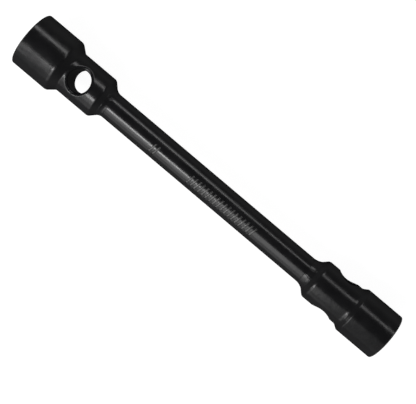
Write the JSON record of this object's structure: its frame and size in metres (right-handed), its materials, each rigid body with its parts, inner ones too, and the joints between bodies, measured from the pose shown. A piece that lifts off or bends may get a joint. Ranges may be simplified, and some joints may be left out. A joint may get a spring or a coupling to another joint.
{
  "type": "lug wrench",
  "caption": "Double-ended truck wheel nut wrench: a round steel shank with a hexagon socket head welded to each end and a cross hole for a tommy bar behind each socket.",
  "frame": {"origin": "on the wrench's long axis, halfway between the two socket mouths, which is the centre of its bounding box", "axes": "+X along the wrench from the large socket to the small one; +Z along the large head's cross hole; +Y along the small head's cross hole"},
  "size_m": [0.4, 0.052, 0.052],
  "materials": {
    "head_finish": "satin",
    "shank_finish": "satin",
    "weld_finish": "satin"
  },
  "bodies": {
    "root": {"shank": "shank_finish", "large_socket_head": "head_finish", "small_socket_head": "head_finish", "large_end_weld": "weld_finish", "small_end_weld": "weld_finish"}
  },
  "joints": []
}
